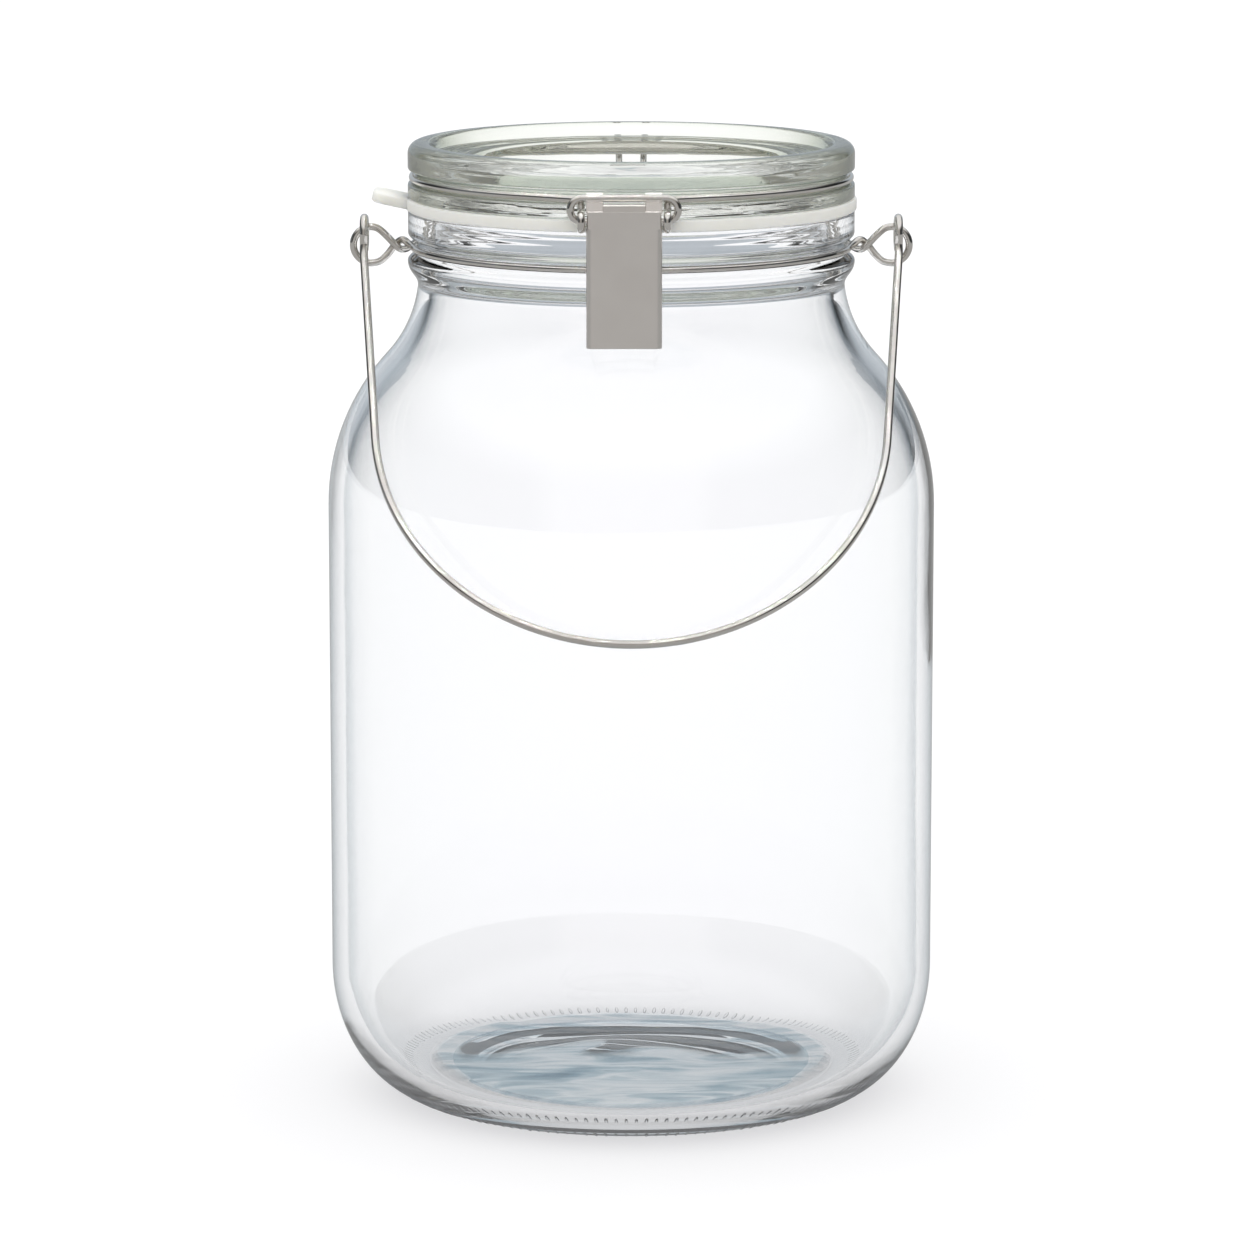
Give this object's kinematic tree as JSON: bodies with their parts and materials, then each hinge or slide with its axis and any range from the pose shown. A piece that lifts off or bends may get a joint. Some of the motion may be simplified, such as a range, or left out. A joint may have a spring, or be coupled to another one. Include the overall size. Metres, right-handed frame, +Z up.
{
  "type": "lidded glass canister",
  "caption": "Tall round glass jar with a shouldered neck, hinged glass lid on a gasket, front lever clamp and a swinging wire carry handle.",
  "frame": {"origin": "centre of the jar's foot ring, on the surface it stands on", "axes": "+Z up along the jar's axis, -Y towards the clamp lever, +X to the right seen from the lever side"},
  "size_m": [0.168, 0.1712, 0.2659],
  "materials": {
    "clear_glass": "clear, smooth",
    "lid_tint_glass": "pressed, slightly green-grey",
    "silicone": "translucent white, satin",
    "wire_steel": "polished stainless wire",
    "pressed_steel": "satin stainless sheet"
  },
  "bodies": {
    "jar": {"jar": "clear_glass", "neck_ring": "wire_steel"},
    "lid": {"lid_glass": "lid_tint_glass", "gasket": "silicone", "lid_ring": "wire_steel"},
    "link": {"latch_link": "wire_steel"},
    "lever": {"latch_lever": "pressed_steel", "spring_catch": "wire_steel"},
    "handle": {"handle": "wire_steel"}
  },
  "joints": [
    {"name": "lid_hinge", "type": "hinge", "parent": "jar", "child": "lid", "pos_m": [0, 0.0665, 0.2485], "axis": [-1, 0, 0], "range_deg": [0, 110]},
    {"name": "link_swing", "type": "hinge", "parent": "lid", "child": "link", "pos_m": [-0.0019, -0.064, 0.2507], "axis": [1, 0, 0], "range_deg": [0, 30]},
    {"name": "lever_swing", "type": "hinge", "parent": "link", "child": "lever", "pos_m": [-0.0019, -0.064, 0.257], "axis": [-1, 0, 0], "range_deg": [0, 150], "deforming": ["spring_catch"]},
    {"name": "handle_swing", "type": "hinge", "parent": "jar", "child": "handle", "pos_m": [0, 0, 0.2419], "axis": [-1, 0, 0], "range_deg": [0, 279]}
  ],
  "couplings": [
    {"joint": "link_swing", "follows": "lever_swing", "ratio": 0.2}
  ]
}
